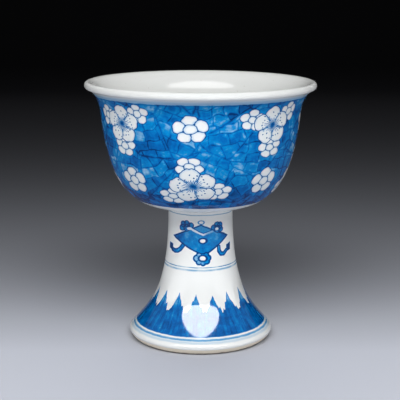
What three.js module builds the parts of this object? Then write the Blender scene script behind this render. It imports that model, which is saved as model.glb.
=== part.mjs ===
// A footed porcelain stem bowl: a deep bowl with an everted lip, luted with slip to the
// head of a hollow stem that spreads to a trimmed foot. Millimetres, +Z up, and the origin
// is the centre of the circle that the foot stands on.

import * as THREE from "three";

// Driving dimensions, in millimetres.
const rimRadius = 65; // widest circle of the lip
const lipRadius = 2; // rounding of the lip, seen in section
const lipUndercutAngle = 66; // degrees below level where the lip's rounding ends
const bowlDepth = 70.5; // flat under the bowl to the top of the lip
const throatRadius = 56.25; // outside of the wall just under the flare of the lip
const flareHeight = 15; // height of the flare, from the throat to the widest circle
const flarePull = 4.3; // how far the flare's outer curve runs on from the wall before it bends
const lipPullIn = 5.1; // how far in the upper end of that curve sets out from the lip
const lipPullDown = 1.6; // and how far down
const innerFlarePull = 12; // how far the inner wall runs straight up before it flares
const bellyRadius = 52.7; // pulls the outside of the wall out above the turn of the base
const bellyHeight = 19.7; // height of that pull above the underside
const baseTurnRadius = 44.6; // how far out the underside runs before it turns up
const wallThickness = 3; // thrown wall of the bowl
const floorThickness = 5; // clay between the bowl's floor and its flat underside

const stemHeight = 76.4; // foot circle to the flat head of the stem
const stemRadius = 18.4; // slim upper part of the stem
const stemWall = 5.6; // wall of the stem's upper part
const waistHeight = 34; // where the stem starts to spread
const spreadRadius = 25.5; // middle of the spread
const spreadHeight = 21.5;
const spreadWall = 5; // wall there
const footRadius = 41.4; // widest circle of the foot
const footEdgeHeight = 4.2; // height of that circle
const footEdgeRound = 1.6; // height of the rounding above it
const footEdgeSetBack = 0.56; // how far the rounding draws in
const footRingOuter = 38.2; // flat ring that touches the table
const footRingWidth = 3.4;
const bareBandHeight = 3.3; // top of the unglazed bevel, where the glaze ends
const bareBandRadius = 41;
const footRecess = 4; // height where the hollow starts to close in
const recessTaper = 0.7; // how far it has drawn in by there

const slipThickness = 0.6; // luting slip between the stem's head and the bowl
const slipBulge = 0.25; // slip that stands proud of the stem
const slipBeadWidth = 1.6; // bead squeezed out inside the hollow
const slipBeadDrop = 0.9; // how far the bead hangs under the bowl

const turns = 64; // facets round the axis
const curveSteps = 11; // steps along each long curve
const flareSteps = 5; // and along the flare
const lipSteps = 7; // and round the lip

// Colours as they show from afar, and the gloss of glaze and of slip.
const paintedBlue = 0x2563a8;
const glazedWhite = 0xe9edf0;
const slipWhite = 0xdfe3e2;
const glazeRoughness = 0.12;
const slipRoughness = 0.2;

// Heights that follow from the sizes above.
const underside = stemHeight + slipThickness;
const lipCentreHeight = underside + bowlDepth - lipRadius;
const lipCentreRadius = rimRadius - lipRadius;
const throatHeight = lipCentreHeight - flareHeight;
const floorHeight = underside + floorThickness;
const hollowRadius = stemRadius - stemWall;

const porcelain = (colour, roughness) =>
  new THREE.MeshStandardMaterial({ color: colour, roughness, metalness: 0 });

const at = (radius, height) => new THREE.Vector2(radius, height);

// Points along a cubic curve, without its first point.
function bend(from, pull1, pull2, to, steps = curveSteps) {
  const curve = new THREE.CubicBezierCurve(from, pull1, pull2, to);
  return curve.getPoints(steps).slice(1);
}

// Points along an arc about a centre, without its first point; angles in degrees.
function arc(centre, radius, fromAngle, toAngle, steps) {
  const points = [];
  for (let i = 1; i <= steps; i++) {
    const angle = THREE.MathUtils.degToRad(fromAngle + ((toAngle - fromAngle) * i) / steps);
    points.push(at(centre.x + radius * Math.cos(angle), centre.y + radius * Math.sin(angle)));
  }
  return points;
}

// A closed profile turned about the axis, which the file's +Z follows.
function turned(name, profile, material) {
  const shape = new THREE.LatheGeometry([...profile, profile[0].clone()], turns);
  shape.rotateX(Math.PI / 2);
  const piece = new THREE.Mesh(shape, material);
  piece.name = name;
  return piece;
}

function bowl() {
  const start = at(0, underside);
  const seat = at(stemRadius, underside);
  const throat = at(throatRadius, throatHeight);
  const belly = at(bellyRadius, underside + bellyHeight);
  const runOn = throat.clone().sub(belly).setLength(flarePull);
  const lipCentre = at(lipCentreRadius, lipCentreHeight);
  const undercut = arc(lipCentre, lipRadius, 0, -lipUndercutAngle, 1)[0];
  const innerThroat = at(throatRadius - wallThickness, throatHeight);
  const crest = at(lipCentreRadius, lipCentreHeight + lipRadius);
  const profile = [
    start,
    seat,
    ...bend(seat, at(baseTurnRadius, underside), belly, throat),
    ...bend(
      throat,
      throat.clone().add(runOn),
      at(undercut.x - lipPullIn, undercut.y - lipPullDown),
      undercut,
      flareSteps,
    ),
    ...arc(lipCentre, lipRadius, -lipUndercutAngle, 90, lipSteps),
    ...bend(
      crest,
      at(crest.x - lipRadius, crest.y),
      at(innerThroat.x, innerThroat.y + innerFlarePull),
      innerThroat,
      lipSteps,
    ),
    ...bend(
      innerThroat,
      at(belly.x - wallThickness, belly.y),
      at(baseTurnRadius - floorThickness, floorHeight),
      at(0, floorHeight),
    ),
  ];
  return turned("bowl", profile, porcelain(paintedBlue, glazeRoughness));
}

function stem() {
  const head = at(stemRadius, stemHeight);
  const foot = at(footRadius - footEdgeSetBack, footEdgeHeight + footEdgeRound);
  const innerHead = at(hollowRadius, stemHeight);
  const ringInner = at(footRingOuter - footRingWidth, 0);
  const recess = at(ringInner.x - recessTaper, footRecess);
  const profile = [
    ringInner,
    at(footRingOuter, 0),
    at(bareBandRadius, bareBandHeight),
    at(footRadius, footEdgeHeight),
    foot,
    ...bend(foot, at(spreadRadius, spreadHeight), at(stemRadius, waistHeight), head),
    innerHead,
    ...bend(
      innerHead,
      at(hollowRadius, waistHeight),
      at(spreadRadius - spreadWall, spreadHeight),
      recess,
    ),
  ];
  return turned("stem", profile, porcelain(glazedWhite, glazeRoughness));
}

// The ring of slip between the two, with the bead that it squeezes out inside.
function lutingSlip() {
  const profile = [
    at(hollowRadius, stemHeight),
    at(stemRadius, stemHeight),
    at(stemRadius + slipBulge, stemHeight + slipThickness / 2),
    at(stemRadius, underside),
    at(hollowRadius - slipBeadWidth, underside),
    at(hollowRadius - slipBeadWidth, underside - slipBeadDrop),
  ];
  return turned("luting_slip", profile, porcelain(slipWhite, slipRoughness));
}

const stemBowl = new THREE.Group();
stemBowl.add(bowl(), stem(), lutingSlip());

export default stemBowl;
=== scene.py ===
"""A stem bowl of porcelain, painted in cobalt under its glaze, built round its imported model."""

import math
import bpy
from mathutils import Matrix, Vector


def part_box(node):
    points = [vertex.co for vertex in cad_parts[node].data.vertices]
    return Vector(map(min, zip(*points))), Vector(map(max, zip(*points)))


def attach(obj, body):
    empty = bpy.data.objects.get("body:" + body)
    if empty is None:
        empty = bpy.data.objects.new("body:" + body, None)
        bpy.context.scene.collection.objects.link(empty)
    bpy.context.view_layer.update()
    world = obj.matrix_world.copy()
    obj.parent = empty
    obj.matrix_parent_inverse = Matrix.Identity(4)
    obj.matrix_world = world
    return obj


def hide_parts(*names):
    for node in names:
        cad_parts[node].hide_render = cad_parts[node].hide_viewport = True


bl_info = {
    "name": "Blue and White Stem Bowl",
    "version": (1, 0, 0),
    "blender": (4, 5, 0),
    "location": "3D View > Sidebar > Stem Bowl",
    "description": "Throws, paints and glazes a stem bowl, and sets it in a plain studio",
    "category": "Object",
}

import bpy
import numpy as np
from bpy.props import FloatProperty, FloatVectorProperty, IntProperty, PointerProperty
from mathutils import Vector

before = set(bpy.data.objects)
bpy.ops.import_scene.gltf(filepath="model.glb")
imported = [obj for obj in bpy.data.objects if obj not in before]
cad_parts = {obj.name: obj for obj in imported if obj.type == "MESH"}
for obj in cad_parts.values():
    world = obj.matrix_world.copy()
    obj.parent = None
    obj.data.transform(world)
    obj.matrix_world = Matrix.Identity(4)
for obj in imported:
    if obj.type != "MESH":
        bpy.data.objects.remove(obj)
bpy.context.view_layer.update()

MM = 0.001

# Sizes that the frame gives, in millimetres.
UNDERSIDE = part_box("bowl")[0].z / MM
LIP_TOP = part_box("bowl")[1].z / MM
RIM_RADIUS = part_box("bowl")[1].x / MM
STEM_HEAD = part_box("stem")[1].z / MM
FOOT_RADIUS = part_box("stem")[1].x / MM

# Heights on the stem, in millimetres above the table.
BEVEL_TOP = 3.3
FAINT_LINE = 7.0
FOOT_LINE = 8.2
FLAME_FOOT = 9.8
SPREAD_HEIGHT = 21.5
WAIST = 34
PALE_LINE = 43.1
DARK_LINE = 44.6
CHARM_MIDDLE = 59.0
NECK_LINE = 74.2

# Heights on the wall: the ends of the blue field.
FIELD_FOOT = 82.25
FIELD_TOP = 140.5

PETALS = 5
FLAMES = 16
LICKS = 6  # thin licks to each flame

# How far a dark outline covers what is under it.
OUTLINE = 0.92

# Colours that only touch a small place. The grey on the lip's crest is painted shade on the top of the
# lip.
CREST_PAINTED_SHADE = (0.35, 0.36, 0.36)
IRON_SPECK = (0.35, 0.31, 0.25)
GREYED_COBALT = (0.10, 0.14, 0.18)
# The dark clay is a painted contact shadow along the bottom edge of the bare foot ring.
CONTACT_SHADOW_CLAY = (0.10, 0.075, 0.06)

# The second coat of glaze on the foot.
COAT_INDEX = 1.85
COAT_ROUGHNESS = 0.05


class StemBowlSettings(bpy.types.PropertyGroup):
    """Sizes of the thrown forms, colours of the painting, and the studio."""

    lip_round: FloatProperty(
        name="Lip Rounding",
        description="Radius of the bead that ends the lip",
        unit="LENGTH",
        default=0.002,
    )
    flare: FloatProperty(
        name="Flare",
        description="Height from the throat to the widest circle of the lip",
        unit="LENGTH",
        default=0.015,
    )
    throat: FloatProperty(
        name="Throat Radius",
        description="Outside of the wall just under the flare",
        unit="LENGTH",
        default=0.05625,
    )
    wall: FloatProperty(
        name="Wall",
        description="Thickness of the bowl's wall",
        unit="LENGTH",
        default=0.003,
    )
    floor: FloatProperty(
        name="Floor",
        description="Clay under the middle of the bowl",
        unit="LENGTH",
        default=0.005,
    )
    stem_radius: FloatProperty(
        name="Stem Radius",
        description="Slim upper part of the stem",
        unit="LENGTH",
        default=0.0184,
    )
    stem_wall: FloatProperty(
        name="Stem Wall",
        description="Thickness of the stem's upper part",
        unit="LENGTH",
        default=0.0056,
    )
    ring_radius: FloatProperty(
        name="Foot Ring Radius",
        description="Outer edge of the flat ring that the bowl stands on",
        unit="LENGTH",
        default=0.0382,
    )
    ring_width: FloatProperty(
        name="Foot Ring Width",
        description="Width of that ring",
        unit="LENGTH",
        default=0.0034,
    )
    columns: IntProperty(
        name="Columns",
        description="Faces round the axis",
        default=288,
        min=48,
    )
    porcelain: FloatVectorProperty(
        name="Porcelain",
        description="White body under clear glaze",
        subtype="COLOR",
        default=(0.872, 0.885, 0.870),
    )
    faint_cobalt: FloatVectorProperty(
        name="Faint Cobalt",
        description="Palest wash",
        subtype="COLOR",
        default=(0.26, 0.49, 0.70),
    )
    thin_cobalt: FloatVectorProperty(
        name="Thin Cobalt",
        description="Thinly washed colour",
        subtype="COLOR",
        default=(0.002, 0.245, 0.60),
    )
    cobalt: FloatVectorProperty(
        name="Cobalt",
        description="Middle tone of the wash",
        subtype="COLOR",
        default=(0.001, 0.133, 0.455),
    )
    deep_cobalt: FloatVectorProperty(
        name="Deep Cobalt",
        description="Outlines, crack lines and pooled colour",
        subtype="COLOR",
        default=(0.002, 0.036, 0.16),
    )
    bare_clay: FloatVectorProperty(
        name="Bare Clay",
        description="Unglazed foot ring",
        subtype="COLOR",
        default=(0.97, 0.87, 0.70),
    )
    backdrop: FloatVectorProperty(
        name="Backdrop",
        description="The studio's paper sheet in front of the bowl and at its sides",
        subtype="COLOR",
        default=(0.485, 0.503, 0.56),
    )
    # The far colour is also what the painted fall-off darkens the sheet to.
    far_backdrop: FloatVectorProperty(
        name="Far Backdrop",
        description="The same sheet far away, and the dark beyond it",
        subtype="COLOR",
        default=(0.008, 0.008, 0.009),
    )
    camera_reach: FloatProperty(
        name="Camera Reach",
        description="From the axis to the camera, along the table",
        unit="LENGTH",
        default=0.590,
    )
    camera_aside: FloatProperty(
        name="Camera Aside",
        description="How far the camera stands to the right of the axis",
        unit="LENGTH",
        default=-0.0003,
    )
    camera_height: FloatProperty(
        name="Camera Height",
        description="Camera above the table",
        unit="LENGTH",
        default=0.2043,
    )
    camera_pitch: FloatProperty(
        name="Camera Pitch",
        description="How far the camera looks down",
        subtype="ANGLE",
        default=math.radians(11.97),
    )
    lens: FloatProperty(
        name="Lens",
        description="Focal length on a sensor 36 mm wide",
        unit="CAMERA",
        default=94.8,
    )


def mm(length):
    """A length in metres, as the settings hold it, in millimetres."""
    return length / MM


# Profiles are arrays of (radius, height) in millimetres. A pull is the point that a curve
# leans towards at one of its ends.
def cubic(start, first_pull, second_pull, end, steps):
    """The four points weighed by (1-t)^3, 3t(1-t)^2, 3t^2(1-t) and t^3."""
    t = np.linspace(0, 1, steps + 1)[:, None]
    weights = (1 - t) ** 3, 3 * t * (1 - t) ** 2, 3 * t**2 * (1 - t), t**3
    points = np.array([start, first_pull, second_pull, end], float)
    return sum(weight * point for weight, point in zip(weights, points))


def arc(centre, radius, start, end, steps):
    """The centre plus radius times the cosine and sine of angles from start to end."""
    angle = np.radians(np.linspace(start, end, steps + 1))
    return np.array(centre) + radius * np.stack([np.cos(angle), np.sin(angle)], 1)


def joined(*stretches):
    """Stretches end to end, each without the point that it shares with the last."""
    return np.concatenate([stretches[0]] + [stretch[1:] for stretch in stretches[1:]])


def evened(profile, step):
    """The same line with points at even distances along it, about a step apart."""
    run = run_along(profile)
    along = np.linspace(0, run[-1], max(1, round(run[-1] / step)) + 1)
    return np.stack([np.interp(along, run, profile[:, axis]) for axis in (0, 1)], 1)


def run_along(profile):
    """Distance from the first point to each point, along the line."""
    return np.concatenate([[0], np.cumsum(np.hypot(*np.diff(profile, axis=0).T))])


def bowl_outside(sizes):
    """Turn of the base and wall in one cubic, the flare in another, then the bead's arc."""
    bead = mm(sizes.lip_round)
    bead_middle = RIM_RADIUS - bead, LIP_TOP - bead
    lip = arc(bead_middle, bead, start=-66, end=90, steps=40)
    seat = mm(sizes.stem_radius), UNDERSIDE
    base_pull = 44.6, UNDERSIDE
    belly_pull = 52.7, UNDERSIDE + 19.7
    throat = mm(sizes.throat), bead_middle[1] - mm(sizes.flare)
    wall = cubic(seat, base_pull, belly_pull, throat, steps=400)
    run_on = 4.3
    ahead = np.subtract(throat, belly_pull)
    ahead *= run_on / np.hypot(*ahead)
    in_and_down = 5.1, 1.6
    flare = cubic(throat, throat + ahead, lip[0] - in_and_down, lip[0], steps=60)
    return evened(joined(wall, flare, lip), step=0.5)


def bowl_inside(sizes):
    """Cubics from the lip's crest down the flare, the neck and the wall to the floor's middle."""
    floor = UNDERSIDE + mm(sizes.floor)
    crest = RIM_RADIUS - mm(sizes.lip_round), LIP_TOP
    crest_pull, flare_pull = (61.15, LIP_TOP), (54.5, LIP_TOP - 2.4)
    throat = mm(sizes.throat) - mm(sizes.wall), LIP_TOP - 13.5
    throat_pull, neck_pull, neck = (52.8, 131.0), (52.0, 124.5), (51.2, 117.0)
    belly_pull, floor_pull = (48.9, 93.0), (39, floor)
    return evened(joined(
        cubic(crest, crest_pull, flare_pull, throat, steps=60),
        cubic(throat, throat_pull, neck_pull, neck, steps=60),
        cubic(neck, belly_pull, floor_pull, (0, floor), steps=300),
    ), step=1.0)


def stem_outside(sizes):
    """The flat ring, the bare bevel, the rounded edge of the foot and the long spread."""
    ring = mm(sizes.ring_radius)
    flat = np.array([(ring - mm(sizes.ring_width), 0), (ring, 0)])
    bevel_top = FOOT_RADIUS - 0.4, BEVEL_TOP
    bevel_pulls = (ring + 0.9, 0.5), (FOOT_RADIUS - 0.9, 2.2)
    edge_top = FOOT_RADIUS - 0.56, 5.8
    edge_pulls = (FOOT_RADIUS, 3.9), (FOOT_RADIUS + 0.1, 5.0)
    stem = mm(sizes.stem_radius)
    spread_pulls = (25.5, SPREAD_HEIGHT), (stem, WAIST)
    return evened(joined(
        flat,
        cubic((ring, 0), *bevel_pulls, bevel_top, steps=12),
        cubic(bevel_top, *edge_pulls, edge_top, steps=12),
        cubic(edge_top, *spread_pulls, (stem, STEM_HEAD), steps=400),
    ), step=0.5)


def stem_hollow(sizes):
    """The hollow, from the head of the stem down to the inner edge of the ring."""
    bore = mm(sizes.stem_radius) - mm(sizes.stem_wall)
    bore_pulls = (bore, WAIST), (20.5, SPREAD_HEIGHT)
    ring = mm(sizes.ring_radius) - mm(sizes.ring_width)
    recess = ring - 0.7, 4
    ring_pulls = (ring - 0.3, 2.5), (ring - 0.2, 0.8)
    return evened(joined(
        cubic((bore, STEM_HEAD), *bore_pulls, recess, steps=200),
        cubic(recess, *ring_pulls, (ring, 0), steps=10),
    ), step=1.5)


def slip_ring(sizes):
    """A closed ring: the bead inside the hollow, the seam, and the fillet under the bowl."""
    stem = mm(sizes.stem_radius)
    bore = stem - mm(sizes.stem_wall)
    bead_middle, bead_radius = (bore - 0.6, UNDERSIDE), 1.0
    bead = arc(bead_middle, bead_radius, start=180, end=300, steps=10)
    fillet_foot, fillet_top = (stem + 0.03, STEM_HEAD - 0.7), (stem + 1.8, UNDERSIDE + 0.04)
    fillet_pulls = (stem + 0.1, UNDERSIDE - 0.25), (stem + 0.6, UNDERSIDE - 0.1)
    fillet = cubic(fillet_foot, *fillet_pulls, fillet_top, steps=14)
    seam = np.array([bead[-1], (bore, STEM_HEAD), (stem, STEM_HEAD), fillet[0]])
    top = np.array([fillet[-1], (stem, UNDERSIDE), bead[0]])
    return joined(bead, seam, fillet, top)


class Turning:
    """A profile turned about the axis, with the place of each face corner on it.

    A point at angle a and radius r stands at (r sin a, -r cos a): a is 0 at the front and
    grows to the right. A thrown wall sways: its radius changes with the cosine of twice
    the angle and its height with that of the angle, more towards the top.
    """

    # A radius below this, in millimetres, is on the axis.
    ON_AXIS = 1e-6

    # Angles at which the rim is widest and highest, in radians.
    WIDE_AT = 0.35
    HIGH_AT = -2.6

    def __init__(self, profile, columns, sway=0.0, lean=0.0):
        self.profile = profile
        self.run = run_along(profile)
        on_axis = profile[:, 0] < self.ON_AXIS
        closed = not on_axis[0]
        row, column = np.meshgrid(np.arange(len(profile) - 1), np.arange(columns), indexing="ij")
        row, column = row.reshape(-1, 1), column.reshape(-1, 1)
        rows = row + np.array([0, 0, 1, 1])
        turned = column + np.array([0, 1, 1, 0])
        wrapped = rows % (len(profile) - 1) if closed else rows
        number = wrapped * columns + np.where(on_axis[rows], 0, turned % columns)
        keep = np.ones(number.shape, bool)
        keep[:, 1] = number[:, 1] != number[:, 0]
        keep[:, 3] = number[:, 3] != number[:, 2]
        self.sides = keep.sum(1)
        self.starts = np.concatenate([[0], np.cumsum(self.sides)[:-1]])
        used, self.corners = np.unique(number[keep], return_inverse=True)
        self.row = rows[keep]
        self.angle = (-np.pi + 2 * np.pi * turned / columns)[keep]
        self.radius, self.height = profile[self.row].T
        self.along = self.run[self.row]
        self.points = self.placed(used // columns, used % columns, columns, sway, lean)

    def placed(self, row, column, columns, sway, lean):
        """Places in metres of the given rows and columns."""
        radius, height = self.profile[row].T
        angle = -np.pi + 2 * np.pi * column / columns
        low, tall = self.profile[:, 1].min(), np.ptp(self.profile[:, 1])
        climb = (height - low) / tall
        radius = radius * (1 + sway * climb**2 * np.cos(2 * (angle - self.WIDE_AT)))
        height = height + lean * climb**3 * np.cos(angle - self.HIGH_AT)
        return np.stack([radius * np.sin(angle), -radius * np.cos(angle), height], 1) * MM

    def middle(self, values):
        """The mean over each face's corners."""
        return np.add.reduceat(values, self.starts) / self.sides

    def run_at(self, height, rows):
        """Run along the outside, which is the first rows, where it reaches a height."""
        start = int(np.argmin(self.profile[:rows, 0] < self.ON_AXIS))
        return float(np.interp(height, self.profile[start:rows, 1], self.run[start:rows]))

    def radius_at(self, height, rows):
        """Radius of the outside at a height."""
        return float(np.interp(self.run_at(height, rows), self.run, self.profile[:, 0]))

    def piece(self, name, finishes, maps):
        """A mesh object. Finishes are (material, first row), and maps are UV maps by name."""
        mesh = bpy.data.meshes.new(name)
        mesh.from_pydata(self.points, [], np.split(self.corners, self.starts[1:]))
        first = self.row[self.starts]
        number = np.searchsorted([row for _, row in finishes], first, side="right") - 1
        mesh.polygons.foreach_set("material_index", number.astype(np.int32))
        for material, _ in finishes:
            mesh.materials.append(material)
        for title, corner_places in maps.items():
            layer = mesh.uv_layers.new(name=title)
            layer.data.foreach_set("uv", corner_places.astype(np.float32).ravel())
        mesh.shade_smooth()
        mesh.update()
        made = bpy.data.objects.new(name, mesh)
        bpy.context.scene.collection.objects.link(made)
        return made


def nearest_places(turning, flowers):
    """Each corner's place in mm from the middle of the flower nearest to its face.

    A flower is (angle in degrees, run, turn in degrees, width, height), the last two as
    shares of its drawn size. The way across is the difference in angle times the radius,
    and the way up is the difference in run. Both are scaled, and then turned.
    """
    angle, run, turn, wide, tall = np.array(flowers, float).T

    def offsets(corner_angle, radius, along, chosen):
        """Across and up from the middle of the chosen flower."""
        gap = (corner_angle - np.radians(angle[chosen]) + np.pi) % (2 * np.pi) - np.pi
        return gap * radius / wide[chosen], (along - run[chosen]) / tall[chosen]

    faces = [turning.middle(values)[:, None] for values in
             (turning.angle, turning.radius, turning.along)]
    every = np.arange(len(flowers))[None, :]
    distance = np.hypot(*offsets(*faces, every)) * np.sqrt(wide * tall)
    nearest = np.repeat(np.argmin(distance, 1), turning.sides)
    across, up = offsets(turning.angle, turning.radius, turning.along, nearest)
    cosine, sine = np.cos(np.radians(turn[nearest])), np.sin(np.radians(turn[nearest]))
    return np.stack([across * cosine + up * sine, up * cosine - across * sine], 1)


def bands(turning, strips):
    """A flat layout for baking: strips are (first row, last row, floor, height, cuts).

    Each strip of rows is cut into equal lengths round the axis, which are stacked from
    its floor up, and share its height. Floor and height are shares of the map.
    """
    end_gap, side_gap = 0.004, 0.01
    u = np.zeros(len(turning.row))
    v = np.zeros(len(turning.row))
    turn = (turning.angle + np.pi) / (2 * np.pi)
    face_row = np.repeat(turning.row[turning.starts], turning.sides)
    face_turn = np.repeat(turning.middle(turn), turning.sides)
    for first, last, floor, height, cuts in strips:
        inside = (face_row >= first) & (face_row < last)
        cut = np.minimum((face_turn * cuts).astype(int), cuts - 1)
        share = (turning.along - turning.run[first]) / (turning.run[last] - turning.run[first])
        along = end_gap + (1 - 2 * end_gap) * (turn * cuts - cut)
        up = cut + side_gap + (1 - 2 * side_gap) * share
        u = np.where(inside, along, u)
        v = np.where(inside, floor + height / cuts * up, v)
    return np.stack([u, v], 1)


class Tone:
    """What a node gives. Arithmetic on it, where it is a number, adds Math nodes."""

    def __init__(self, brush, socket):
        self.brush = brush
        self.socket = socket

    def __add__(self, other):
        return self.brush.reckon("ADD", self, other)

    def __sub__(self, other):
        return self.brush.reckon("SUBTRACT", self, other)

    def __rsub__(self, other):
        return self.brush.reckon("SUBTRACT", other, self)

    def __mul__(self, other):
        return self.brush.reckon("MULTIPLY", self, other)

    def __truediv__(self, other):
        return self.brush.reckon("DIVIDE", self, other)

    def __rtruediv__(self, other):
        return self.brush.reckon("DIVIDE", other, self)

    def __pow__(self, other):
        return self.brush.reckon("POWER", self, other)

    def __mod__(self, other):
        return self.brush.reckon("FLOORED_MODULO", self, other)

    def __abs__(self):
        return self.brush.reckon("ABSOLUTE", self)

    __radd__ = __add__
    __rmul__ = __mul__


class Brush:
    """Adds the nodes of a new material, or of a new world."""

    def __init__(self, name, kind="materials"):
        self.made = getattr(bpy.data, kind).new(name)
        self.made.use_nodes = True
        self.tree = self.made.node_tree
        self.tree.nodes.clear()

    def node(self, kind, settings=(), sockets=(), out=0):
        """A node of a kind, with its settings, then the values or links of its sockets."""
        made = self.tree.nodes.new("ShaderNode" + kind)
        for name, value in dict(settings).items():
            if name == "stops":
                self.set_stops(made.color_ramp, value)
            else:
                setattr(made, name, value)
        for name, value in dict(sockets).items():
            if isinstance(value, Tone):
                self.tree.links.new(value.socket, made.inputs[name])
            else:
                made.inputs[name].default_value = value
        return Tone(self, made.outputs[out]) if made.outputs else None

    @staticmethod
    def set_stops(ramp, stops):
        """Stops are (place, colour)."""
        while len(ramp.elements) < len(stops):
            ramp.elements.new(1.0)
        for element, (place, colour) in zip(ramp.elements, stops):
            element.position = place
            element.color = (*colour, 1.0)

    def reckon(self, operation, *values):
        """What a Math node makes of the values."""
        return self.node("Math", {"operation": operation}, enumerate(values))

    def least(self, first, *others):
        """The smallest of the values."""
        for other in others:
            first = self.reckon("MINIMUM", first, other)
        return first

    def most(self, first, *others):
        """The largest of the values."""
        for other in others:
            first = self.reckon("MAXIMUM", first, other)
        return first

    def length(self, x, y):
        """The root of the sum of both squares."""
        return self.reckon("SQRT", x * x + y * y)

    def ease(self, value, low, high):
        """0 at low, 1 at high, and a smooth climb between them."""
        sockets = {"Value": value, "From Min": low, "From Max": high}
        return self.node("MapRange", {"interpolation_type": "SMOOTHSTEP"}, sockets)

    def inside(self, distance, soft=0.12):
        """1 where a distance in mm is below 0, with a soft edge."""
        return 1 - self.ease(distance, -soft, soft)

    def stroke(self, distance, width, soft=0.12):
        """1 within half a width of where a distance in mm is 0."""
        return self.inside(abs(distance) - width / 2, soft)

    def blend(self, share, first, second):
        """A number that goes from the first to the second with the share."""
        return first + (second - first) * share

    def mix(self, share, first, second):
        """The same for colours, each a Tone or three numbers."""
        first, second = (each if isinstance(each, Tone) else (*each, 1.0)
                         for each in (first, second))
        return self.node("Mix", {"data_type": "RGBA"}, {0: share, 6: first, 7: second}, 2)

    def apart(self, vector):
        """The three numbers of a vector."""
        first = self.node("SeparateXYZ", (), {0: vector})
        return [first] + [Tone(self, socket) for socket in first.socket.node.outputs[1:]]

    def together(self, x=0.0, y=0.0, z=0.0):
        """The vector of three numbers."""
        return self.node("CombineXYZ", (), enumerate((x, y, z)))

    def uv(self, name):
        """Across and up on one of the piece's own maps, in mm."""
        return self.apart(self.node("UVMap", {"uv_map": name}))[:2]

    def place(self, scale=1.0):
        """Object coordinates in mm, times a scale."""
        spot = self.node("TexCoord", (), (), 3)
        return self.node("VectorMath", {"operation": "SCALE"}, {0: spot, 3: scale / MM})

    def noise(self, vector, scale, detail=2.0, rough=0.5):
        """Cloudy numbers from 0 to 1, about 0.5, with clouds 1 / scale apart."""
        sockets = {"Vector": vector, "Scale": scale, "Detail": detail, "Roughness": rough}
        return self.node("TexNoise", (), sockets)

    def chance(self, *numbers):
        """A number from 0 to 1 for each set of whole numbers."""
        sockets = {"Vector": self.together(*numbers)}
        return self.node("TexWhiteNoise", {"noise_dimensions": "3D"}, sockets)


def cobalt_colour(brush, sizes, ink):
    """Colour of the painting, from bare porcelain at ink 0 to pooled cobalt at ink 1."""
    stops = [
        (0.0, sizes.porcelain),
        (0.20, sizes.faint_cobalt),
        (0.42, sizes.thin_cobalt),
        (0.64, sizes.cobalt),
        (1.0, sizes.deep_cobalt),
    ]
    return brush.node("ValToRGB", {"stops": stops}, {0: ink})


def glazed(brush, colour, roughness, relief, index=1.5, coat=0.0, tint=(1.0, 1.0, 1.0)):
    """The clear glaze over a colour, with its relief in mm and a second coat of it.

    The tint colours what the glaze mirrors at its face.
    """
    normal = brush.node("Bump", (), {"Strength": 1.0, "Distance": MM, "Height": relief})
    sockets = {"Base Color": colour, "Roughness": roughness, "Normal": normal, "IOR": index,
               "Specular Tint": (*tint, 1.0), "Coat Weight": coat, "Coat IOR": COAT_INDEX,
               "Coat Roughness": COAT_ROUGHNESS}
    surface = brush.node("BsdfPrincipled", (), sockets)
    brush.node("OutputMaterial", (), {"Surface": surface})
    return brush.made


def glaze_relief(brush):
    """Faint ripples of the throwing and the soft unevenness of a thick glaze, in mm."""
    ripple, dimple = brush.noise(brush.place(0.05), 1.0, 1.0), brush.noise(brush.place(), 0.35, 1.0)
    return 0.05 * ripple + 0.006 * dimple


def glaze_roughness(brush, smoothest=0.075):
    """Roughness of the glaze: its smoothest, and a little more in fine clouds."""
    return smoothest + 0.05 * brush.noise(brush.place(), 0.8, 3.0)


def fifths(brush, x, y):
    """Polar fold into five equal petals.

    Gives the angle, the radius, and how far out along a petal and aside from it.
    """
    angle = brush.reckon("ARCTAN2", x, y)
    fifth = 2 * math.pi / PETALS
    lean = angle - fifth * brush.reckon("ROUND", angle / fifth)
    radius = brush.length(x, y)
    out, aside = radius * brush.reckon("COSINE", lean), radius * brush.reckon("SINE", lean)
    return angle, radius, out, aside


def petal_edge(brush, out, aside, middle, deep, wide):
    """Distance in mm from the edge of an oval petal that is cut where it meets the next.

    The petal's middle lies out along it, and it reaches deep along it and wide to each
    side. The cut runs along the line halfway to the next petal.
    """
    half = math.pi / PETALS
    cut = abs(aside) * math.cos(half) - out * math.sin(half)
    oval_reach = brush.length((out - middle) / deep, aside / wide)
    return brush.most((oval_reach - 1) * min(deep, wide), cut)


def floret(brush, x, y):
    """Distances in mm from the edges of a small flower's round hub and its five petals."""
    hub_radius = 2.75
    radius, out, aside = fifths(brush, x, y)[1:]
    petal = petal_edge(brush, out, aside, middle=5.0, deep=2.75, wide=3.3)
    return radius - hub_radius, petal


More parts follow.
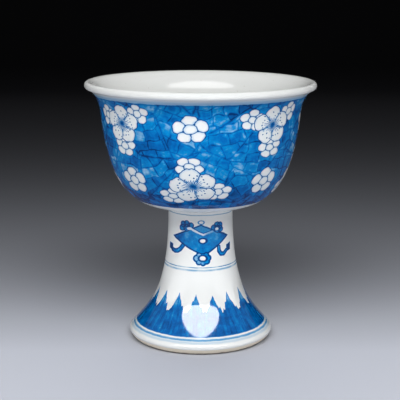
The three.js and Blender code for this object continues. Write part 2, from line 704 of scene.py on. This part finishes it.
def blossom(brush, x, y):
    """A big blossom: the distance in mm from its edge, its lines, and the ink inside it.

    Fine rays of uneven length run out from the heart over a pale wash. Beyond most of
    them stands the dot of an anther, some nearer and some farther out.
    """
    heart_radius, wash_radius, core_radius = 0.75, 2.2, 3.4
    threads, thread_half_width, shortest_thread, thread_spread = 25, 0.12, 3.5, 1.9
    anther_radius, nearest_anther, anther_spread = 0.33, 5.1, 2.3
    seam_width, seam_start, seam_whole = 0.36, 2.4, 4.0
    angle, radius, out, aside = fifths(brush, x, y)
    petal = petal_edge(brush, out, aside, middle=6.6, deep=4.2, wide=4.75)
    edge = brush.least(petal, radius - core_radius)
    thread = angle * (threads / (2 * math.pi))
    number = brush.reckon("ROUND", thread)
    beside = abs(thread - number) * radius * (2 * math.pi / threads)
    luck, luck_b = brush.chance(number, 3.0), brush.chance(number, 4.0)
    beyond = radius - (shortest_thread + thread_spread * luck)
    line = brush.inside(beside - thread_half_width, 0.12) * brush.inside(beyond, 0.6)
    reach = radius - (nearest_anther + anther_spread * luck_b)
    anther = brush.inside(brush.length(beside, reach) - anther_radius, 0.13)
    anther = anther * brush.ease(luck, 0.12, 0.2)
    heart = brush.inside(radius - heart_radius, 0.5)
    wash = 0.24 * brush.inside(radius - wash_radius, 1.8)
    inner = brush.most(wash, 0.95 * line, anther, 0.85 * heart)
    seams = brush.stroke(petal, seam_width, 0.14) * brush.ease(radius, seam_start, seam_whole)
    return edge, seams, inner


def ice_ground(brush, wall_x, wall_y, height):
    """Ink of the washed ground, crossed by cracks.

    Large cells each hold a net of slanted courses, whose joints are staggered, so that
    the cracks bound uneven four-cornered panes. Each pane takes its own depth of wash
    and its own brush streaks, thin strokes of paler wash follow some cracks, and the
    lines fade in and out. The foot of the wall is washed deeper, as painted shade under the belly.
    """
    cell_size, border_reach, most_slant, wander = 22, 16.0, 1.1, 8.0
    pane_width, pane_height, width_spread, height_spread = 7.2, 6.0, 2.5, 2.0
    even_wash, belly_shade, belly_shade_foot, belly_shade_top = 0.565, 0.26, 82.0, 106.0
    pane_share, cloud_share, broad_share, streak_share = 0.30, 0.85, 0.60, 0.38
    pale_gap, pale_width, pale_share, dab_share = 1.0, 0.5, 0.13, 0.12
    cell_shift, course_shift = 7, 3
    cloud = brush.noise(brush.place(), 0.20, 4.0, 0.55)
    broad = brush.noise(brush.place(0.9), 0.05, 2.0)
    patches = brush.noise(brush.place(1.3), 0.13, 2.0)
    sway = wander * (brush.noise(brush.place(), 0.09, 1.0) - 0.5)
    spot = {"Vector": brush.place(1 / cell_size), "Scale": 1.0}
    cell = brush.node("TexVoronoi", {"feature": "F1"}, spot, 1)
    border = brush.node("TexVoronoi", {"feature": "DISTANCE_TO_EDGE"}, spot)
    luck_a, luck_b, luck_c = brush.apart(cell)
    slant = (luck_a - 0.5) * most_slant
    cosine, sine = brush.reckon("COSINE", slant), brush.reckon("SINE", slant)
    x, y = wall_x + sway, wall_y - sway
    wide = pane_width + width_spread * (luck_b - 0.5)
    tall = pane_height + height_spread * (luck_c - 0.5)
    course = (y * cosine - x * sine) / tall + cell_shift * luck_c
    row = brush.reckon("FLOOR", course)
    along = (x * cosine + y * sine) / wide + cell_shift * luck_b
    along = along + course_shift * brush.chance(row, luck_a)
    pane = brush.reckon("FLOOR", along)
    course_gap = (0.5 - abs(course - row - 0.5)) * tall
    joint_gap = (0.5 - abs(along - pane - 0.5)) * wide
    crack = brush.least(border * border_reach, course_gap, joint_gap)
    luck, luck_d = brush.chance(pane, row, luck_b), brush.chance(row, pane, luck_c)
    bristles = brush.noise(brush.together(along * 0.9, course * 4.0, luck * 9), 1.0, 3.0, 0.65)
    wash = even_wash + pane_share * (luck - 0.5) + cloud_share * (cloud - 0.5)
    wash = wash + broad_share * (broad - 0.5) + streak_share * (bristles - 0.5)
    # Deeper wash at the foot of the wall: painted shade on the underside of the belly.
    wash = wash + belly_shade * (1 - brush.ease(height, belly_shade_foot, belly_shade_top))
    pale = brush.stroke(crack - pale_gap, pale_width, 0.7) * brush.ease(patches, 0.46, 0.60)
    dabs = brush.ease(bristles + 0.9 * (patches - 0.5) + 0.3 * luck_d, 0.70, 1.05)
    wash = wash - pale_share * pale - dab_share * dabs
    line = brush.inside(crack - (0.05 + 0.28 * cloud), 0.40)
    return wash + line * (0.20 + 0.26 * brush.ease(broad + 0.6 * cloud, 0.60, 0.95))


def painted_wall(sizes):
    """Outside of the bowl: white blossoms on cobalt ice, and white above and below it."""
    brush = Brush("painted_wall")
    height = brush.apart(brush.place())[2]
    wall_x, wall_y = brush.uv("Wall")
    waver = brush.noise(brush.place(), 0.22, 2.0) - 0.5
    waver_b = brush.noise(brush.place(1.0), 0.31, 2.0) - 0.5
    ground = ice_ground(brush, wall_x, wall_y, height)
    x, y = brush.uv("Blossom")
    petals, seams, inner = blossom(brush, x + 2.0 * waver, y + 2.0 * waver_b)
    x, y = brush.uv("Floret")
    hub, leaf = floret(brush, x + 1.8 * waver_b, y + 1.8 * waver)
    small = brush.least(hub, leaf)
    whole = brush.least(petals, small)
    halo_width, halo_ink, petal_shade, bud_line_width = 0.8, 0.36, 0.12, 0.34
    halo = brush.inside(whole - halo_width, 1.0)
    halo = halo * brush.ease(waver_b + 0.8 * waver, -0.20, 0.15)
    ground = brush.blend(0.75 * halo, ground, halo_ink)
    leaf_line = brush.stroke(leaf, bud_line_width, 0.14) * brush.inside(0 - hub)
    bud_line = brush.most(brush.stroke(hub, bud_line_width, 0.14), leaf_line)
    shade = petal_shade * brush.inside(0 - whole - 0.6, 0.8) + 0.02
    ink = brush.blend(brush.inside(small), ground, shade)
    ink = brush.blend(OUTLINE * bud_line, ink, 1.0)
    ink = brush.blend(brush.inside(petals), ink, brush.most(inner, shade))
    ink = brush.blend(OUTLINE * seams, ink, 1.0)
    above_field = height + 0.7 * waver - FIELD_TOP
    below_field = FIELD_FOOT - height + 0.25 * waver
    off_field = brush.most(above_field, below_field)
    ink = brush.blend(0.30 * brush.stroke(off_field + 0.4, 0.6, 0.5), ink, 0.95)
    wash_and_shade_top, crest_shade_foot, crest_shade_top = 142.3, 144.2, 146.4
    # A faint blue wash under the lip, which also paints the shade beneath the lip.
    under_lip_wash_and_shade = brush.inside(height - wash_and_shade_top, 1.2) * brush.ease(height, 130.0, 131.0)
    ink = brush.blend(brush.inside(off_field, 0.25), 0.19 * under_lip_wash_and_shade, ink)
    colour = cobalt_colour(brush, sizes, ink)
    # Grey over the lip's crest: painted shade on the top of the lip.
    colour = brush.mix(0.44 * brush.ease(height, crest_shade_foot, crest_shade_top), colour, CREST_PAINTED_SHADE)
    roughness, relief = glaze_roughness(brush), glaze_relief(brush)
    return glazed(brush, colour, roughness, relief, index=1.22, tint=(0.35, 0.65, 1.0))


def shaded_inside_glaze(sizes):
    """The glaze inside the bowl: darker than the other white as painted shade inside the bowl, and
    smoother and less mirroring.
    """
    return white_glaze(sizes, "shaded_inside_glaze", share=0.72, index=1.45, smoothest=0.02)


def white_glaze(sizes, name="white_glaze", share=1.0, index=1.5, smoothest=0.075):
    """Glaze over bare white porcelain, slightly uneven in tone, with a few iron specks.

    The share is how much of the porcelain's own colour shows.
    """
    brush = Brush(name)
    tone = brush.noise(brush.place(), 0.05, 3.0)
    plain = tuple(channel * share for channel in sizes.porcelain)
    paler = tuple(min(1.0, channel * 1.04) for channel in plain)
    speck = brush.inside(brush.noise(brush.place(), 1.1, 0.0) - 0.17, 0.015)
    colour = brush.mix(0.5 * speck, brush.mix(tone, plain, paler), IRON_SPECK)
    roughness = glaze_roughness(brush, smoothest)
    return glazed(brush, colour, roughness, glaze_relief(brush), index)


def oval(brush, x, y, across, up, wide, tall):
    """Rough distance in mm from the edge of an oval, below 0 inside it."""
    reach = brush.length((x - across) / wide, (y - up) / tall)
    return (reach - 1) * min(wide, tall)


def limb(brush, x, y, points, thick):
    """Distance in mm from the edge of a brush stroke of one thickness through points."""
    spans = []
    for (ax, ay), (bx, by) in zip(points, points[1:]):
        dx, dy = bx - ax, by - ay
        square = dx * dx + dy * dy
        share = ((x - ax) * (dx / square)) + ((y - ay) * (dy / square))
        share = brush.least(brush.most(share, 0.0), 1.0)
        spans.append(brush.length(x - ax - share * dx, y - ay - share * dy))
    return brush.least(*spans) - thick


def ribbon(brush, x, y, points, leaf, thick):
    """Distance in mm from the edge of a ribbon: a stroke that ends in a pointed leaf."""
    across, up, lean, long, wide = leaf
    cosine, sine = math.cos(math.radians(lean)), math.sin(math.radians(lean))
    out = (x - across) * cosine + (y - up) * sine
    aside = (y - up) * cosine - (x - across) * sine
    tip = abs(out) / long + abs(aside) / wide - 1
    return brush.least(limb(brush, x, y, points, thick), tip * 0.9)


def curls(brush, x, y, circles):
    """Distances in mm from a cloud of circles, and from their own outlines."""
    rounds = [brush.length(x - across, y - up) - radius for across, up, radius in circles]
    return brush.least(*rounds), brush.least(*[abs(each) for each in rounds])


def sloped(aside, up, slope, cosine):
    """Distance in mm from a straight edge: aside times its slope plus up, times a cosine.

    The cosine is that of the edge's angle, and makes the rise a distance.
    """
    return (aside * slope + up) * cosine


# Places on the charm, in mm across and up from its middle. A tail is a line of points, and
# its leaf is (across, up, lean in degrees, half length, half width). A knot or a border is
# made of circles (across, up, radius), and an oval is (across, up, half width, half height).
LEFT_TAIL = (-10.3, -2.2), (-12.2, -4.6), (-14.2, -5.9), (-16.4, -6.3), (-18.5, -5.6)
LEFT_LEAF = (-19.9, -4.2, 128, 2.6, 2.2)
RIGHT_TAIL = (10.8, -3.2), (10.8, -5.6), (12.3, -7.2), (14.4, -7.4), (16.2, -6.1)
RIGHT_LEAF = (18.3, -4.4, 54, 2.8, 2.3)
LEFT_KNOT = (-10.8, 7.8, 1.7), (-10.1, 9.9, 1.7), (-7.8, 10.4, 1.7), (-5.6, 9.4, 1.6), (-8.0, 7.9, 2.0)
RIGHT_KNOT = (12.1, 7.0, 1.7), (11.6, 9.0, 1.7), (9.5, 9.5, 1.6), (7.6, 8.1, 1.5), (9.9, 7.0, 1.9)
LOWER_BORDER = (
    (-2.3, -9.2, 1.8), (-0.8, -11.2, 1.6), (1.4, -11.7, 1.6), (3.5, -10.9, 1.6),
    (4.3, -9.0, 1.7), (3.2, -7.4, 1.6), (-0.8, -7.4, 1.6), (1.3, -9.2, 2.9),
)
HANGING_LOOP = (0.3, 11.2, 1.6, 1.0)
KNOT_SPOTS = (-6.3, 7.6, 1.5, 0.9), (9.6, 7.2, 1.2, 0.8)
RINGS = (1.3, 0.8, 1.55, 1.05), (1.3, -9.1, 1.8, 1.25)


def lozenge_emblem(brush, x, y):
    """Ink of the lozenge charm: cloud knots, folded plaque, rings, loop and two ribbons."""
    cloud = brush.noise(brush.place(), 0.35, 4.0, 0.65)
    soft = brush.noise(brush.place(), 0.16, 2.0)
    tails = brush.least(ribbon(brush, x, y, LEFT_TAIL, LEFT_LEAF, thick=1.25),
                        ribbon(brush, x, y, RIGHT_TAIL, RIGHT_LEAF, thick=1.15))
    tail_wash = 0.50 + (cloud - 0.5) + 0.45 * brush.ease(abs(x), 16.0, 19.0)
    ink = brush.inside(tails) * tail_wash
    ink = brush.blend(0.9 * brush.stroke(tails + 0.30, 0.6, 0.25), ink, 1.0)
    loop = oval(brush, x, y, *HANGING_LOOP)
    ink = brush.blend(0.8 * brush.stroke(loop, 0.4, 0.2), ink, 0.60)
    lower_left = sloped(0.6 - x, -7.4 - y, slope=0.52, cosine=0.89)
    lower_right = sloped(x, -9.4 - y, slope=0.67, cosine=0.83)
    gable = sloped(abs(x - 0.4), y - 10.1, slope=0.43, cosine=0.92)
    plaque = brush.most(lower_left, lower_right, gable)
    tone = 0.52 + 0.8 * (cloud - 0.5) + 0.7 * (soft - 0.5) + 0.25 * brush.ease(abs(x), 9.0, 16.0)
    ink = brush.blend(brush.inside(plaque), ink, brush.most(tone, 0.38))
    ink = brush.blend(OUTLINE * brush.stroke(plaque + 0.35, 0.75, 0.28), ink, 1.0)
    knots, knot_lines = curls(brush, x, y, LEFT_KNOT + RIGHT_KNOT)
    ink = brush.blend(brush.inside(knots), ink, 0.56 + 0.9 * (cloud - 0.5))
    inked = brush.inside(knot_lines - 0.28, 0.18) * brush.inside(knots - 0.25)
    ink = brush.blend(0.95 * inked, ink, 1.0)
    fold_across, fold_up, left_slope, right_slope = 1.4, 4.1, 0.48, 0.35
    roof = brush.most((fold_across - x) * left_slope, (x - fold_across) * right_slope)
    fold = y - fold_up - roof
    flap = brush.inside(0 - fold, 0.2) * brush.inside(plaque + 0.6) * brush.inside(0 - knots)
    ink = brush.blend(0.75 * flap, ink, 0.34)
    fold_middle, fold_reach = 0.9, 6.6
    arms = brush.inside(abs(x - fold_middle) - fold_reach, 0.4)
    fainter = 0.95 - 0.55 * brush.ease(x, 1.0, 6.0)
    ink = brush.blend(fainter * brush.stroke(fold, 1.25, 0.25) * arms, ink, 0.06)
    ink = brush.blend(0.85 * brush.stroke(fold - 0.85, 0.40, 0.2) * arms, ink, 0.95)
    spots = brush.least(*[oval(brush, x, y, *spot) for spot in KNOT_SPOTS])
    ink = brush.blend(brush.inside(spots, 0.2), ink, 0.06)
    border = curls(brush, x, y, LOWER_BORDER)[0]
    pooled = 0.24 + 0.5 * (cloud - 0.5) + 0.24 * brush.ease(x, 0.0, 3.0)
    ink = brush.blend(brush.inside(border), ink, pooled)
    ink = brush.blend(OUTLINE * brush.stroke(border + 0.15, 0.75, 0.25), ink, 1.0)
    for place in RINGS:
        ring = oval(brush, x, y, *place)
        ink = brush.blend(0.9 * brush.stroke(ring - 0.45, 0.75, 0.2), ink, 0.97)
        ink = brush.blend(brush.inside(ring), ink, 0.0)
    return ink


def flame_border(brush, turn, height):
    """Ink of the border of pointed flames on the spread of the foot.

    Each flame narrows in a hollow curve from its valley to its tip, which leans and
    varies in height. Thin licks stand in the valleys, and brush streaks rise with them.
    """
    first_flame, valley, flame_height, tip_spread, lick_height = 0.28, 20.2, 10.3, 2.4, 3.8
    flame_slope, hollow, most_lean, lick_slope = 2.10, 1.45, 0.16, 2.2
    waver = brush.noise(brush.place(), 0.7, 3.0, 0.6) - 0.5
    shift = turn + first_flame
    flame = brush.reckon("ROUND", shift)
    luck, luck_b = brush.chance(flame % FLAMES, 1.0), brush.chance(flame % FLAMES, 2.0)
    beside = shift - flame + most_lean * (luck - 0.5)
    climb = brush.most(1 - abs(beside) * flame_slope, 0.0)
    along = shift * LICKS
    lick = brush.reckon("ROUND", along)
    lick_luck = brush.chance(lick % (FLAMES * LICKS), 5.0)
    point = brush.most(1 - abs(along - lick) * lick_slope, 0.0)
    tip = flame_height + tip_spread * (luck_b - 0.5)
    edge = valley + tip * climb ** hollow + lick_height * lick_luck * point * (1 - climb)
    rise = edge + 1.6 * waver - height
    streak = brush.noise(brush.together(turn * 5.5, height * 0.05, 0.0), 1.0, 4.0, 0.75)
    cloud = brush.noise(brush.place(), 0.20, 3.0, 0.6)
    blot = brush.noise(brush.together(turn * 2.6, height * 0.25, 3.0), 1.0, 3.0, 0.65)
    wash = 0.68 + 1.10 * (streak - 0.5) + 0.5 * (cloud - 0.5) + 0.75 * (blot - 0.5)
    pale_foot, pale_top = 20.5, 27.0
    wash = wash - (0.14 + 0.20 * luck_b) * brush.ease(height, pale_foot, pale_top)
    wash = brush.most(wash + 0.12 * brush.inside(rise - 0.5, 0.5), 0.34)
    below = FLAME_FOOT - height + 0.9 * waver
    return wash * (brush.inside(0 - rise, 0.16) * brush.inside(below, 0.16))


def painted_stem(sizes):
    """Outside of the stem: lines, charm, flames, and the bare bevel under the glaze."""
    brush = Brush("painted_stem")
    height = brush.apart(brush.place())[2]
    turn = brush.uv("Wall")[0]
    waver = brush.noise(brush.place(), 0.25, 2.0) - 0.5
    worn = brush.noise(brush.place(), 0.16, 2.0)
    x, y = brush.uv("Charm")
    ink = lozenge_emblem(brush, x + 0.9 * waver, y + 0.9 * waver)
    ink = brush.most(ink, flame_border(brush, turn, height))
    line = height + 0.5 * waver
    broken = brush.ease(worn, 0.35, 0.65)
    neck_line = 0.55 * brush.stroke(line - NECK_LINE, 0.35, 0.3)
    dark_line = (0.25 + 0.60 * broken) * brush.stroke(line - DARK_LINE, 0.35, 0.28)
    pale_line = (0.25 + 0.25 * broken) * brush.stroke(line - PALE_LINE, 0.8, 0.5)
    greyed = brush.most(neck_line, dark_line, 0.7 * pale_line)
    ink = brush.most(ink, 0.5 * neck_line, 0.7 * dark_line, 0.55 * pale_line)
    flame_line = (0.55 + 0.35 * worn) * brush.stroke(line - FLAME_FOOT, 0.50, 0.3)
    foot_line = (0.22 + 0.25 * worn) * brush.stroke(line - FOOT_LINE, 0.80, 0.40)
    faint_line = 0.10 * brush.stroke(line - FAINT_LINE, 1.0, 0.5)
    ink = brush.most(ink, flame_line, foot_line, faint_line)
    colour = cobalt_colour(brush, sizes, ink)
    colour = brush.mix(0.55 * greyed, colour, GREYED_COBALT)
    grain = brush.noise(brush.place(), 1.4, 4.0, 0.65)
    bare = brush.inside(height - BEVEL_TOP + 0.7 * waver, 0.12)
    darker_clay = tuple(channel * 0.85 for channel in sizes.bare_clay)
    clay_colour = brush.mix(grain, darker_clay, sizes.bare_clay)
    # A dark band along the lowest edge of the bare ring: a painted contact shadow where the foot meets
    # the table.
    contact_shadow_top = 0.95
    contact_shadow = 0.90 * brush.inside(height - contact_shadow_top + 1.2 * waver, 0.45)
    clay_colour = brush.mix(contact_shadow, clay_colour, CONTACT_SHADOW_CLAY)
    colour = brush.mix(bare, colour, clay_colour)
    bare_roughness, glaze_thickness, grain_height, coat_top = 0.72, 0.12, 0.05, 34.0
    roughness = brush.blend(bare, glaze_roughness(brush), bare_roughness)
    relief = glaze_relief(brush) + glaze_thickness * (1 - bare) + grain_height * bare * grain
    pooled = brush.inside(height - coat_top, 6.0) * (1 - bare)
    return glazed(brush, colour, roughness, relief, index=1.48, coat=pooled)


def fired_slip(sizes):
    """Slip that has taken the glaze, a little greyer than the porcelain."""
    brush = Brush("fired_slip")
    greyer = tuple(channel * 0.93 for channel in sizes.porcelain)
    colour = brush.mix(brush.noise(brush.place(), 0.3, 2.0), greyer, sizes.porcelain)
    roughness = 0.14 + 0.05 * brush.noise(brush.place(), 0.9)
    return glazed(brush, colour, roughness, glaze_relief(brush))


def hand_over(piece, node):
    """The piece takes the place of a node of the frame, which is hidden, and is attached to the root
    body.
    """
    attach(piece, "root")
    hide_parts(node)


# Middles of the painted flowers: (angle in degrees, height in mm, turn in degrees, width,
# height), the last two as shares of the drawn size. A satellite is (across, up, turn,
# width, height), with its place in mm from the middle of its blossom.
LOW_BLOSSOM = (-4.2, 96.5, 12, 1.20, 1.00)
LOW_SATELLITES = (
    (-1.8, 11.9, -25, 1.04, 0.75), (-12.3, -6.6, 0, 0.99, 0.75), (13.2, -3.5, 0, 0.99, 0.78),
)
HIGH_BLOSSOM = (42.2, 128.4, 0, 1.15, 0.97)
HIGH_SATELLITES = (
    (-13.4, 3.5, 0, 0.97, 0.77), (12.2, 6.2, 0, 0.92, 0.76), (0.0, -12.0, 0, 1.06, 0.75),
)
SINGLE_FLORETS = (-5.5, 127.8, 5, 1.28, 1.00), (43.6, 97.4, 0, 1.18, 1.05)


def flower_places(turning, rows):
    """Big blossoms and small flowers round the bowl, four of each kind and height.

    Every blossom carries three small flowers. Each flower strays a little from its
    place, by degrees, by millimetres and in its turn.
    """
    luck = np.random.default_rng(11)

    def stray(reach):
        """A random number from minus the reach to the reach."""
        return luck.uniform(-reach, reach)

    blossoms, florets = [], []
    for quarter in range(4):
        for cluster, satellites in ((LOW_BLOSSOM, LOW_SATELLITES), (HIGH_BLOSSOM, HIGH_SATELLITES)):
            angle, height, turn, wide, tall = cluster
            angle = angle + 90 * quarter + stray(0.5)
            run = turning.run_at(height, rows)
            blossoms.append((angle, run, turn + stray(5), wide, tall))
            radius = turning.radius_at(height, rows)
            for across, up, turn, wide, tall in satellites:
                spot = angle + math.degrees((across + stray(0.4)) / radius)
                turn = turn + stray(9)
                florets.append((spot, run + up + stray(0.4), turn, wide, tall))
        for angle, height, turn, wide, tall in SINGLE_FLORETS:
            angle = angle + 90 * quarter + stray(0.5)
            turn = turn + stray(4)
            florets.append((angle, turning.run_at(height, rows), turn, wide, tall))
    return blossoms, florets


class STEMBOWL_OT_throw_bowl(bpy.types.Operator):
    """Throws the bowl and paints its outside with blossoms on cracked ice."""

    bl_idname = "stembowl.throw_bowl"
    bl_label = "Bowl"

    def execute(self, context):
        sizes = context.scene.stem_bowl
        seat = np.array([(0, UNDERSIDE), (mm(sizes.stem_radius), UNDERSIDE)])
        base = evened(seat, step=3.0)
        outside = joined(base, bowl_outside(sizes))
        profile = joined(outside, bowl_inside(sizes))
        turning = Turning(profile, sizes.columns, sway=0.0025, lean=0.35)
        wall_start, wall_end, last = len(base) - 1, len(outside) - 1, len(profile) - 1
        blossoms, florets = flower_places(turning, len(outside))
        wall_map_radius = 50
        maps = {
            "Wall": np.stack([turning.angle * wall_map_radius, turning.along], 1),
            "Blossom": nearest_places(turning, blossoms),
            "Floret": nearest_places(turning, florets),
            "OFBake": bands(turning, [
                (0, wall_start, 0.002, 0.02, 1),
                (wall_start, wall_end, 0.026, 0.86, 2),
                (wall_end, last, 0.89, 0.108, 1),
            ]),
        }
        finishes = [
            (white_glaze(sizes), 0),
            (painted_wall(sizes), wall_start),
            (shaded_inside_glaze(sizes), wall_end),
        ]
        hand_over(turning.piece("painted_bowl", finishes, maps), "bowl")
        return {"FINISHED"}


class STEMBOWL_OT_throw_stem(bpy.types.Operator):
    """Throws the hollow stem and paints its charm, lines and flames."""

    bl_idname = "stembowl.throw_stem"
    bl_label = "Stem"

    def execute(self, context):
        sizes = context.scene.stem_bowl
        outside = stem_outside(sizes)
        bore = mm(sizes.stem_radius) - mm(sizes.stem_wall)
        head = evened(np.array([outside[-1], (bore, STEM_HEAD)]), step=2.0)
        profile = joined(outside, head, stem_hollow(sizes))
        turning = Turning(profile, sizes.columns)
        outside_end, last = len(outside) - 1, len(profile) - 1
        charm_run = turning.run_at(CHARM_MIDDLE, len(outside))
        charms = [(angle, charm_run, 0, 1.0, 1.0) for angle in (0, 180)]
        maps = {
            "Wall": np.stack([turning.angle / math.radians(360 / FLAMES), turning.height], 1),
            "Charm": nearest_places(turning, charms),
            "OFBake": bands(turning, [
                (0, outside_end, 0.002, 0.87, 2),
                (outside_end, last, 0.88, 0.118, 1),
            ]),
        }
        finishes = [(painted_stem(sizes), 0), (white_glaze(sizes), outside_end)]
        hand_over(turning.piece("painted_stem", finishes, maps), "stem")
        return {"FINISHED"}


class STEMBOWL_OT_lute_slip(bpy.types.Operator):
    """Lays the ring of slip that lutes the bowl to the head of the stem."""

    bl_idname = "stembowl.lute_slip"
    bl_label = "Luting Slip"

    def execute(self, context):
        sizes = context.scene.stem_bowl
        ring = slip_ring(sizes)
        turning = Turning(joined(ring, ring[:1]), columns=192)
        slip = turning.piece("luted_ring", [(fired_slip(sizes), 0)], {})
        hand_over(slip, "luting_slip")
        return {"FINISHED"}


# The studio's paper sheet, in metres: where its level part starts and ends, the radius of
# its curl, its top, and half its width.
SHEET_FRONT, SHEET_BACK, SHEET_CURL, SHEET_TOP, SHEET_HALF_WIDTH = -1.8, 1.3, 0.5, 1.6, 2.5

# Its colour, in millimetres: it fades to dark beyond these places in front, behind and at
# both sides, by this length, as painted fall-off of the light. A painted shadow of the bowl
# lies behind the stem as an oval (middle, half width, half length), with this share of the far colour
# in its middle.
FADE_FRONT, FADE_BACK, FADE_SIDE, FADE_LENGTH = -260.0, -32.0, 260.0, 222
SHADOW_PLACE, SHADOW_HALF_WIDTH, SHADOW_HALF_LENGTH, SHADOW_SHARE = 150.0, 100.0, 90.0, 0.55

# The soft lamps, in metres and watts: (name, place, aim, width, height, power, shape,
# whether the glaze mirrors it).
BOWL_MIDDLE = (0, 0, 0.07)
SOFTBOXES = (
    ("front_softbox", (0.0, -0.42, 0.485), (0, -0.03, 0.03), 0.87, 0.31, 4.1, "ELLIPSE", True),
    ("low_softbox", (0.0, -1.2, 0.18), BOWL_MIDDLE, 2.2, 0.3, 1.8, "RECTANGLE", False),
    ("left_softbox", (-1.0, -0.35, 0.24), BOWL_MIDDLE, 1.1, 0.42, 1.2, "RECTANGLE", True),
    ("right_softbox", (1.0, -0.35, 0.24), BOWL_MIDDLE, 1.1, 0.42, 1.2, "RECTANGLE", True),
    ("back_softbox", (0.0, 1.1, 0.7), BOWL_MIDDLE, 1.6, 0.8, 6.5, "RECTANGLE", False),
    ("top_softbox", (0.0, 0.25, 1.3), BOWL_MIDDLE, 1.0, 1.0, 3.4, "RECTANGLE", False),
)
AIR_COLOUR, AIR_STRENGTH, DARK_STRENGTH = (0.95, 0.97, 1.0), 0.07, 0.1
SENSOR_WIDTH = 36.0


def studio_paper(sizes):
    """The sheet's colour: it fades to dark on all sides as painted fall-off of the light, and holds a
    painted shadow of the bowl behind the stem.

    The fade is 1 minus the exponential of minus the distance beyond its start over its
    length. The painted shadow is the exponential of minus the sum of both squares, and
    takes its share of what the fade leaves.
    """
    brush = Brush("studio_paper")
    aside, back = brush.apart(brush.place())[:2]
    # Painted fall-off: the sheet darkens away from the bowl, in place of the light's own fall-off.
    beyond = brush.most(back - FADE_BACK, FADE_FRONT - back, abs(aside) - FADE_SIDE, 0.0)
    far = 1 - brush.reckon("EXPONENT", beyond * (-1 / FADE_LENGTH))
    x, y = aside / SHADOW_HALF_WIDTH, (back - SHADOW_PLACE) / SHADOW_HALF_LENGTH
    # The painted shadow of the bowl on the sheet behind the stem.
    dark = SHADOW_SHARE * brush.reckon("EXPONENT", 0 - x * x - y * y)
    colour = brush.mix(dark + far * (1 - dark), sizes.backdrop, sizes.far_backdrop)
    sockets = {"Base Color": colour, "Roughness": 0.9, "Specular IOR Level": 0.0}
    surface = brush.node("BsdfPrincipled", (), sockets)
    brush.node("OutputMaterial", (), {"Surface": surface})
    return brush.made


def studio_floor(sizes):
    """A sheet that runs back level and then curls up, as a profile carried sideways."""
    bend = arc((SHEET_BACK, SHEET_CURL), SHEET_CURL, start=-90, end=0, steps=24)
    front, top = (SHEET_FRONT, 0.0), (SHEET_BACK + SHEET_CURL, SHEET_TOP)
    line = joined(np.array([front, bend[0]]), bend, np.array([bend[-1], top]))
    sides = np.array([-SHEET_HALF_WIDTH, SHEET_HALF_WIDTH])
    x, row = np.meshgrid(sides, np.arange(len(line)))
    points = np.stack([x, line[row, 0], line[row, 1]], 2).reshape(-1, 3)
    first = np.arange(len(line) - 1)[:, None] * 2
    mesh = bpy.data.meshes.new("studio_floor")
    mesh.from_pydata(points, [], first + np.array([0, 1, 3, 2]))
    mesh.shade_smooth()
    mesh.materials.append(studio_paper(sizes))
    sheet = bpy.data.objects.new("studio_floor", mesh)
    bpy.context.scene.collection.objects.link(sheet)
    return sheet


def studio_air(sizes):
    """The world: pale air that lights the bowl faintly, and shows dark to the camera."""
    brush = Brush("studio_air", "worlds")
    air = {"Color": (*AIR_COLOUR, 1.0), "Strength": AIR_STRENGTH}
    dark = {"Color": (*sizes.far_backdrop, 1.0), "Strength": DARK_STRENGTH}
    air, dark = (brush.node("Background", (), sockets) for sockets in (air, dark))
    is_camera_ray = brush.node("LightPath")
    either = brush.node("MixShader", (), {0: is_camera_ray, 1: air, 2: dark})
    brush.node("OutputWorld", (), {"Surface": either})
    return brush.made


def softbox(name, place, aim, width, height, watts, shape, mirrored):
    """An area lamp at a place, turned to face another, that the camera doesn't see."""
    lamp = bpy.data.lights.new(name, "AREA")
    lamp.shape = shape
    lamp.size, lamp.size_y = width, height
    lamp.energy = watts
    made = bpy.data.objects.new(name, lamp)
    made.location = place
    made.rotation_euler = (Vector(aim) - Vector(place)).to_track_quat("-Z", "Y").to_euler()
    made.visible_camera = False
    made.visible_glossy = mirrored
    bpy.context.scene.collection.objects.link(made)
    return made


def photo_camera(sizes):
    """The camera in front of the bowl, looking down a little."""
    data = bpy.data.cameras.new("photo_camera")
    data.sensor_width = SENSOR_WIDTH
    data.lens = sizes.lens
    camera = bpy.data.objects.new("photo_camera", data)
    camera.location = (sizes.camera_aside, -sizes.camera_reach, sizes.camera_height)
    camera.rotation_euler = (math.pi / 2 - sizes.camera_pitch, 0, 0)
    bpy.context.scene.collection.objects.link(camera)
    return camera


class STEMBOWL_OT_set_studio(bpy.types.Operator):
    """Sets the floor, the soft lamps and the camera."""

    bl_idname = "stembowl.set_studio"
    bl_label = "Studio"

    def execute(self, context):
        scene = context.scene
        sizes = scene.stem_bowl
        scene.view_settings.view_transform = "Standard"
        lamps = [softbox(*each) for each in SOFTBOXES]
        scene.world = studio_air(sizes)
        scene.camera = photo_camera(sizes)
        studio_floor(sizes)
        return {"FINISHED"}


class STEMBOWL_PT_sidebar(bpy.types.Panel):
    """Lists the steps and the settings."""

    bl_label = "Stem Bowl"
    bl_space_type = "VIEW_3D"
    bl_region_type = "UI"
    bl_category = "Stem Bowl"

    def draw(self, context):
        for step in STEPS:
            self.layout.operator(step.bl_idname)
        for name in StemBowlSettings.__annotations__:
            self.layout.prop(context.scene.stem_bowl, name)


STEPS = (
    STEMBOWL_OT_throw_bowl,
    STEMBOWL_OT_throw_stem,
    STEMBOWL_OT_lute_slip,
    STEMBOWL_OT_set_studio,
)
CLASSES = (StemBowlSettings, *STEPS, STEMBOWL_PT_sidebar)


def register():
    """Registers the classes and gives each scene its settings."""
    for each in CLASSES:
        bpy.utils.register_class(each)
    bpy.types.Scene.stem_bowl = PointerProperty(type=StemBowlSettings)


def unregister():
    """Takes both away again."""
    del bpy.types.Scene.stem_bowl
    for each in reversed(CLASSES):
        bpy.utils.unregister_class(each)


def main():
    """Throws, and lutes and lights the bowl."""
    register()
    bpy.ops.stembowl.throw_bowl()
    bpy.ops.stembowl.throw_stem()
    bpy.ops.stembowl.lute_slip()
    bpy.ops.stembowl.set_studio()


if __name__ == "__main__":
    main()
